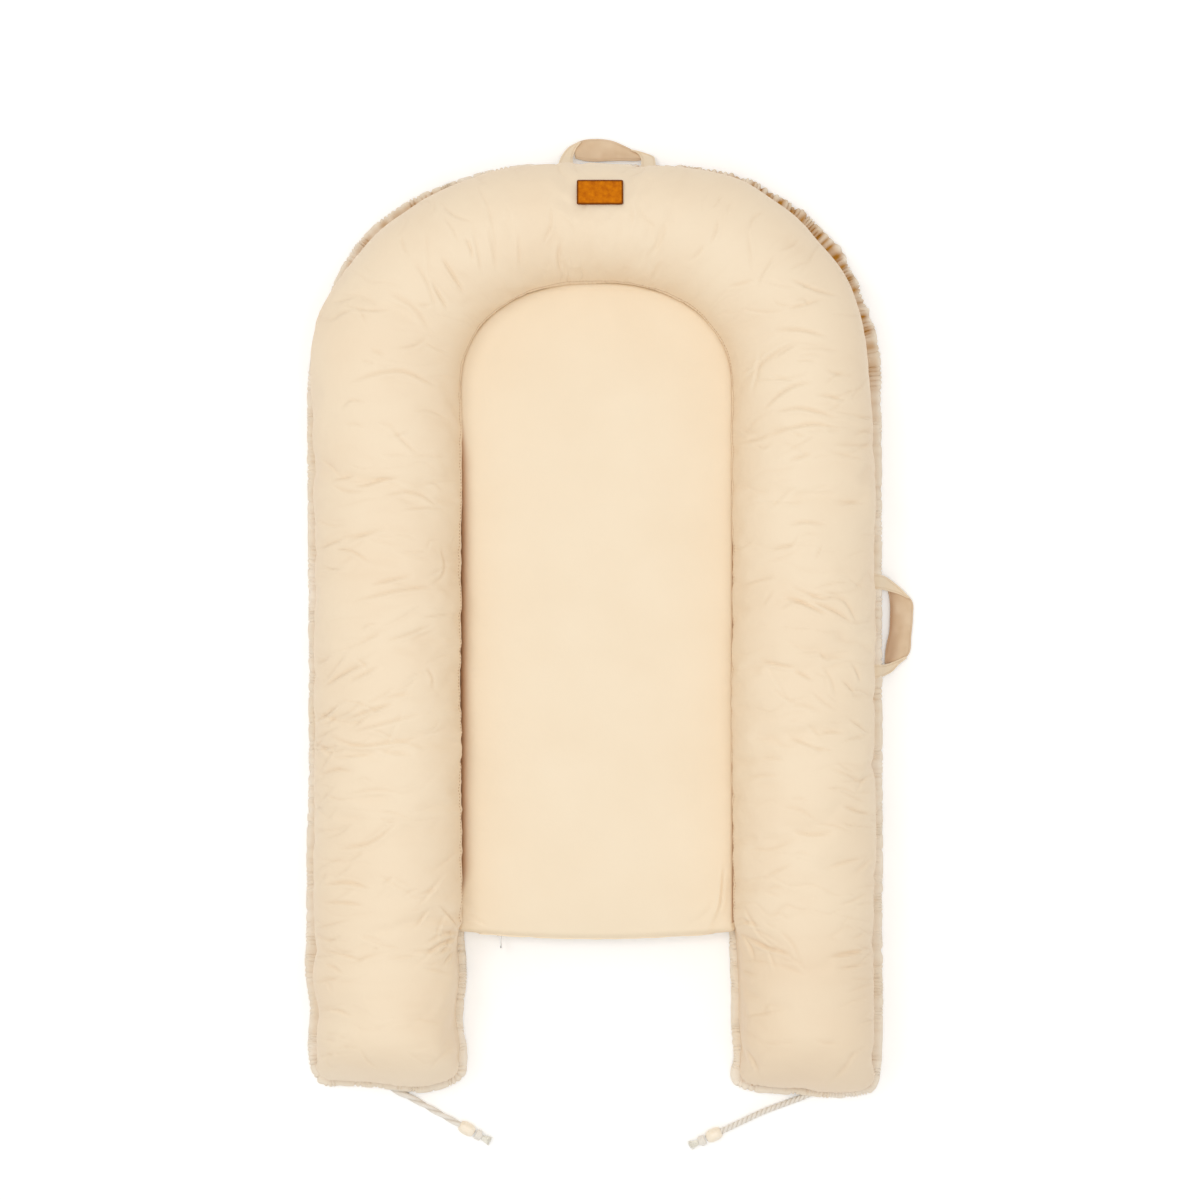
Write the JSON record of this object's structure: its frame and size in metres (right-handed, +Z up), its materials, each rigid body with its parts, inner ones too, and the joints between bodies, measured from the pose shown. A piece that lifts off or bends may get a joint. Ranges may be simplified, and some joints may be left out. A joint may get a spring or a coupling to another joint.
{
  "type": "infant lounger",
  "caption": "Stuffed U-shaped bolster round a crowned pad, with a gathered drawcord casing, beaded cord tails, two folding strap handles, a zipped pad cover and a leather patch.",
  "frame": {"origin": "on the floor face of the base panel, on the middle line, midway between the foot ends and the head's casing", "axes": "+X to the side with the strap handle, +Y to the head, +Z up"},
  "size_m": [0.5799, 0.9721, 0.1213],
  "materials": {
    "cream_sateen": "smooth cotton sateen with a soft sheen",
    "gathered_cotton": "gathered cotton, matt",
    "base_cotton": "plain woven cotton",
    "cotton_lining": "undyed cotton lining over fibre filling",
    "pad_foam": "open-cell foam",
    "cotton_cord": "twisted cotton cord",
    "bead_wood": "turned pale wood, satin",
    "tan_leather": "vegetable-tanned leather with a burnished pressed border",
    "strap_cotton": "folded cotton strap, edge stitched",
    "zip_tape": "woven tape",
    "zip_nylon": "nylon coil",
    "zip_metal": "nickel-plated zinc"
  },
  "bodies": {
    "root": {"bolster_insert": "cotton_lining", "cover_top_panel": "cream_sateen", "drawcord_casing_outer": "gathered_cotton", "drawcord_in_casing": "cotton_cord", "hem_inner_left": "gathered_cotton", "hem_inner_right": "gathered_cotton", "cord_tail_left": "cotton_cord", "cord_tail_right": "cotton_cord", "end_knot_left": "cotton_cord", "end_knot_right": "cotton_cord", "pad_foam": "pad_foam", "pad_cover": "cream_sateen", "base_panel": "base_cotton", "zip_tape_upper": "zip_tape", "zip_tape_lower": "zip_tape", "zip_coil_upper": "zip_nylon", "zip_coil_lower": "zip_nylon", "zip_top_stop_upper": "zip_metal", "zip_top_stop_lower": "zip_metal", "zip_bottom_stop": "zip_metal", "leather_patch": "tan_leather"},
    "head_handle": {"handle_head": "strap_cotton"},
    "side_handle": {"handle_side": "strap_cotton"},
    "slider": {"zip_slider": "zip_metal"},
    "pull": {"zip_pull": "zip_metal"},
    "left_bead": {"bead_left": "bead_wood"},
    "right_bead": {"bead_right": "bead_wood"}
  },
  "joints": [
    {"name": "head_handle_fold", "type": "hinge", "parent": "root", "child": "head_handle", "pos_m": [0.009, 0.4466, 0.00495], "axis": [1, 0, 0], "range_deg": [0, 85]},
    {"name": "side_handle_fold", "type": "hinge", "parent": "root", "child": "side_handle", "pos_m": [0.2786, 0.0016, 0.00495], "axis": [0, -1, 0], "range_deg": [0, 85]},
    {"name": "zip_slide", "type": "slide", "parent": "root", "child": "slider", "axis": [1, 0, 0], "range_m": [-0.0045, 0.19]},
    {"name": "pull_swing", "type": "hinge", "parent": "slider", "child": "pull", "pos_m": [-0.091, -0.29075, 0.0187], "axis": [0, 0, 1], "range_deg": [-80, 80]},
    {"name": "left_bead_slide", "type": "slide", "parent": "root", "child": "left_bead", "axis": [0.8742, -0.4856, 0], "range_m": [-0.045, 0]},
    {"name": "right_bead_slide", "type": "slide", "parent": "root", "child": "right_bead", "axis": [-0.9045, -0.4264, 0], "range_m": [-0.022, 0]}
  ]
}
